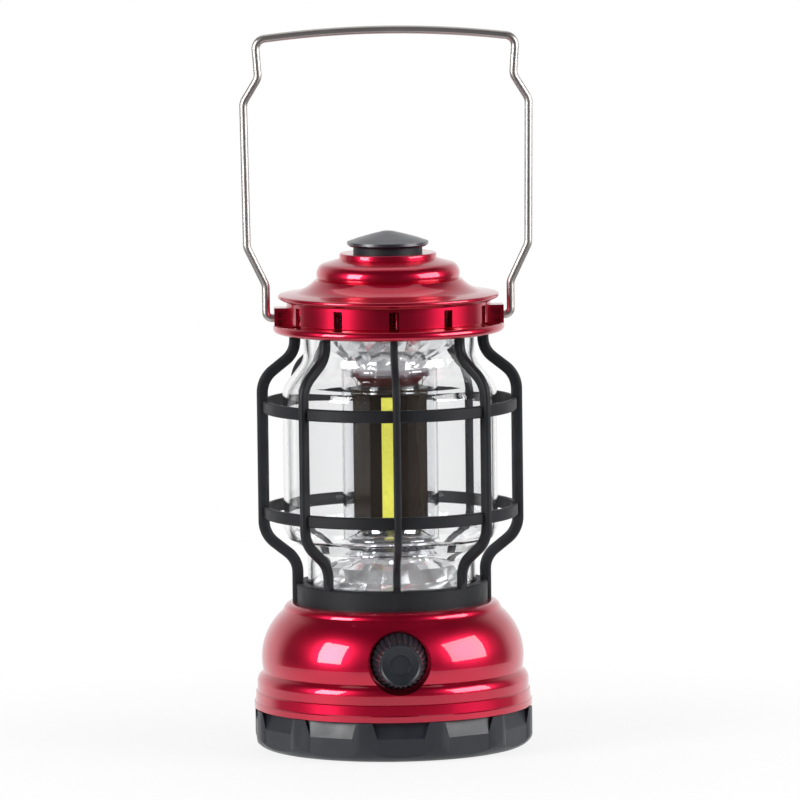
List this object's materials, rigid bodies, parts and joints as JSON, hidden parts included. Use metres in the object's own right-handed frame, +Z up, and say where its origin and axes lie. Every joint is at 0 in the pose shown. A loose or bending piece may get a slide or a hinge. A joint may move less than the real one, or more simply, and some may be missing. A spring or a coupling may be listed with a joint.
{
  "type": "battery camping lantern",
  "caption": "Retro camping lantern in oil-lamp form: domed base with dimmer knob, ribbed cage round a clear globe, vented cap and hinged wire bail.",
  "frame": {"origin": "centre of the underside, on the ground, on the lantern's axis", "axes": "+Z up along the lantern's axis, -Y towards the dimmer knob, X along the bail's pivot"},
  "size_m": [0.1296, 0.1262, 0.3198],
  "materials": {
    "red_gloss": "high-gloss deep red moulding",
    "black_plastic": "satin black moulding",
    "black_gloss": "gloss black moulding",
    "grey_plastic": "potentiometer body",
    "white_plastic": "plain white moulding",
    "dark_core": "dark satin heat sink",
    "led_yellow": "yellow phosphor coating of the light strips",
    "board_green": "green circuit board with solder mask",
    "clear_plastic": "clear polished plastic",
    "mirror_plating": "vacuum-plated faceted reflector",
    "bail_wire": "polished steel wire",
    "screw_steel": "zinc-plated steel",
    "cell_jacket": "plain metallic jacket of a cell, no label",
    "contact_brass": "plated spring and contact strip"
  },
  "bodies": {
    "lantern": {"contact_carrier": "white_plastic", "contact_springs": "contact_brass", "battery_holder": "black_plastic", "battery_1": "cell_jacket", "battery_2": "cell_jacket", "battery_3": "cell_jacket", "top_contacts": "contact_brass", "driver_board": "board_green", "board_screws": "screw_steel", "base_housing": "red_gloss", "potentiometer": "grey_plastic", "pot_nut": "screw_steel", "cage_screws": "screw_steel", "guard_cage": "black_plastic", "globe": "clear_plastic", "lower_reflector": "mirror_plating", "core_base": "black_plastic", "tube_foot": "mirror_plating", "inner_tube": "clear_plastic", "led_core": "dark_core", "cob_strip_front": "led_yellow", "cob_strip_left": "led_yellow", "cob_strip_right": "led_yellow", "core_ring": "white_plastic", "core_cap": "mirror_plating", "tube_cap": "mirror_plating", "upper_reflector": "mirror_plating", "vent_collar": "red_gloss", "collar_screws": "screw_steel", "top_cap": "red_gloss", "cap_screws": "screw_steel", "chimney_neck": "black_gloss", "chimney_cap": "black_gloss", "chimney_screw": "screw_steel"},
    "knob": {"dimmer_knob": "black_plastic", "pot_shaft": "screw_steel"},
    "cover": {"battery_cover": "black_plastic", "cover_push_nut": "screw_steel"},
    "bail": {"bail": "bail_wire"}
  },
  "joints": [
    {"name": "bail_tilt", "type": "hinge", "parent": "lantern", "child": "bail", "pos_m": [0, 0, 0.1911], "axis": [1, 0, 0], "range_deg": [-157, 157]},
    {"name": "knob_turn", "type": "hinge", "parent": "lantern", "child": "knob", "pos_m": [0, -0.05, 0.0436], "axis": [0, -1, 0], "range_deg": [-280, 0]},
    {"name": "cover_twist", "type": "hinge", "parent": "lantern", "child": "cover", "pos_m": [0, 0, 0], "axis": [0, 0, 1], "range_deg": [0, 30]}
  ]
}
